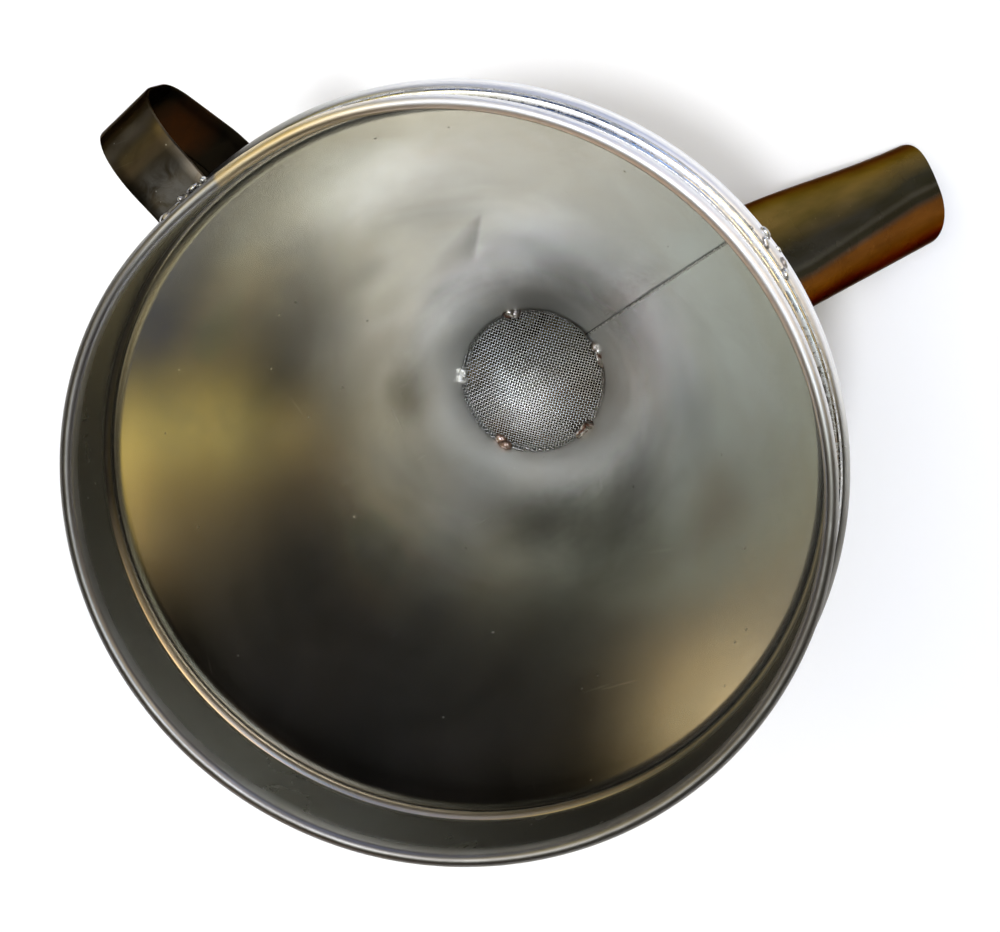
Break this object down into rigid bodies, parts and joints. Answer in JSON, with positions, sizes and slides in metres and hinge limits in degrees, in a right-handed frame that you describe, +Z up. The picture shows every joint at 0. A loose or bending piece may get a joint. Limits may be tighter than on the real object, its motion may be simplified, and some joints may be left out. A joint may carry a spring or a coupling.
{
  "type": "strainer funnel",
  "caption": "Soldered tinplate funnel with a raised collar, a strap handle, a slanting tapered spout and a domed wire gauze strainer in the throat.",
  "frame": {"origin": "centre of the mouth, level with the middle of the rim wire", "axes": "+Z up along the funnel's axis, out of the mouth; +X towards the side that the spout points to; the handle lies 110 degrees round from +X towards +Y and beyond"},
  "size_m": [0.2555, 0.2439, 0.31],
  "materials": {
    "collar_tinplate": "satin tinned sheet, brighter on the beads",
    "cone_tinplate": "satin tinned sheet with faint scuffs",
    "spout_tinplate": "satin tinned sheet, slightly warm",
    "handle_tinplate": "dull tinned sheet",
    "solder": "bright lumpy solder",
    "gauze_wire": "drawn wire, slightly dulled",
    "steel_wire": "drawn wire"
  },
  "bodies": {
    "root": {"splash_collar": "collar_tinplate", "rim_wire": "steel_wire", "collar_lap_solder": "solder", "collar_foot_solder": "solder", "funnel_cone": "cone_tinplate", "cone_lap_solder": "solder", "bead_patch_solder": "solder", "spout": "spout_tinplate", "spout_lap_solder": "solder", "throat_solder": "solder", "gauze_warp": "gauze_wire", "gauze_weft": "gauze_wire", "gauze_tacks": "solder", "handle_strap": "handle_tinplate", "handle_top_solder": "solder", "handle_foot_solder": "solder"}
  },
  "joints": []
}
